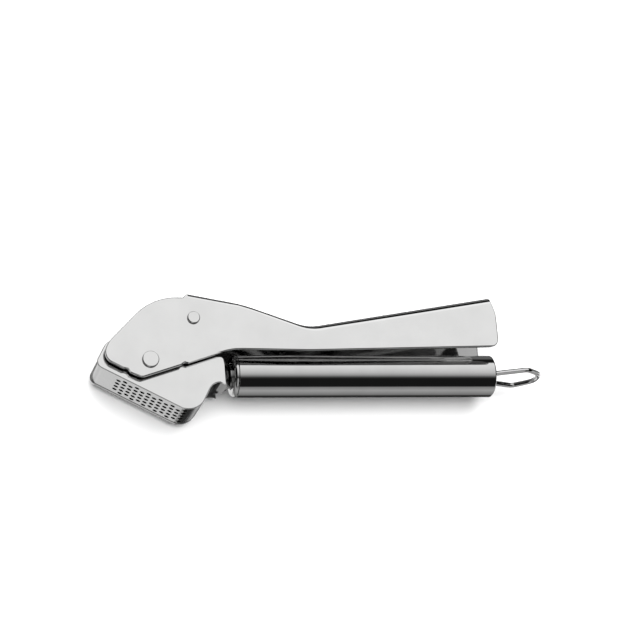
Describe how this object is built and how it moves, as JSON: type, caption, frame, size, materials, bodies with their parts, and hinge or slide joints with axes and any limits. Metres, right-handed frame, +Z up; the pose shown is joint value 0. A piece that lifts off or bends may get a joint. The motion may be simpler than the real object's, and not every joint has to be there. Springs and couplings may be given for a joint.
{
  "type": "garlic press",
  "caption": "Stainless steel lever garlic press lying on its side: perforated hopper on a round tube handle, folded channel lever, linked plunger and a wire hanging loop.",
  "frame": {"origin": "centre of the bounding box on X and Y, on the surface that the press lies on", "axes": "+X along the handle tube towards the hanging loop, +Y from the tube towards the upper lever, +Z up, along the rivets"},
  "size_m": [0.1966, 0.0498, 0.0312],
  "materials": {
    "mirror_steel": "mirror polished",
    "bright_steel": "bright polished",
    "satin_steel": "satin"
  },
  "bodies": {
    "body": {"handle_tube": "mirror_steel", "front_collar": "mirror_steel", "end_cap": "mirror_steel", "hanging_loop": "mirror_steel", "loop_anchor": "satin_steel", "neck_shank": "bright_steel", "left_side_plate": "bright_steel", "right_side_plate": "bright_steel", "hopper_rear_wall": "satin_steel", "front_pivot_pin": "satin_steel"},
    "tray": {"sieve_tray": "satin_steel"},
    "links": {"left_link": "satin_steel", "right_link": "satin_steel"},
    "lever": {"upper_lever": "mirror_steel", "link_rivet": "bright_steel", "link_spacer": "satin_steel", "plunger_rivet": "bright_steel", "plunger_sleeve": "satin_steel", "left_guide_bush": "satin_steel", "right_guide_bush": "satin_steel"},
    "plunger": {"plunger_plate": "satin_steel", "plunger_yoke": "satin_steel", "plunger_studs": "satin_steel"}
  },
  "joints": [
    {"name": "tray_swing", "type": "hinge", "parent": "body", "child": "tray", "pos_m": [-0.09013, -0.00042, 0.0156], "axis": [0, 0, 1], "range_deg": [-100, 0]},
    {"name": "link_swing", "type": "hinge", "parent": "body", "child": "links", "pos_m": [-0.09013, -0.00042, 0.0156], "axis": [0, 0, 1], "range_deg": [0, 72.5]},
    {"name": "lever_swing", "type": "hinge", "parent": "links", "child": "lever", "pos_m": [-0.05769, 0.01373, 0.0156], "axis": [0, 0, 1], "range_deg": [0, 17.4]},
    {"name": "plunger_swing", "type": "hinge", "parent": "lever", "child": "plunger", "pos_m": [-0.07682, -0.0046, 0.0156], "axis": [0, 0, 1], "range_deg": [-90, 0]}
  ],
  "couplings": [
    {"joint": "lever_swing", "follows": "link_swing", "ratio": 0.24},
    {"joint": "plunger_swing", "follows": "link_swing", "ratio": -1.24}
  ]
}
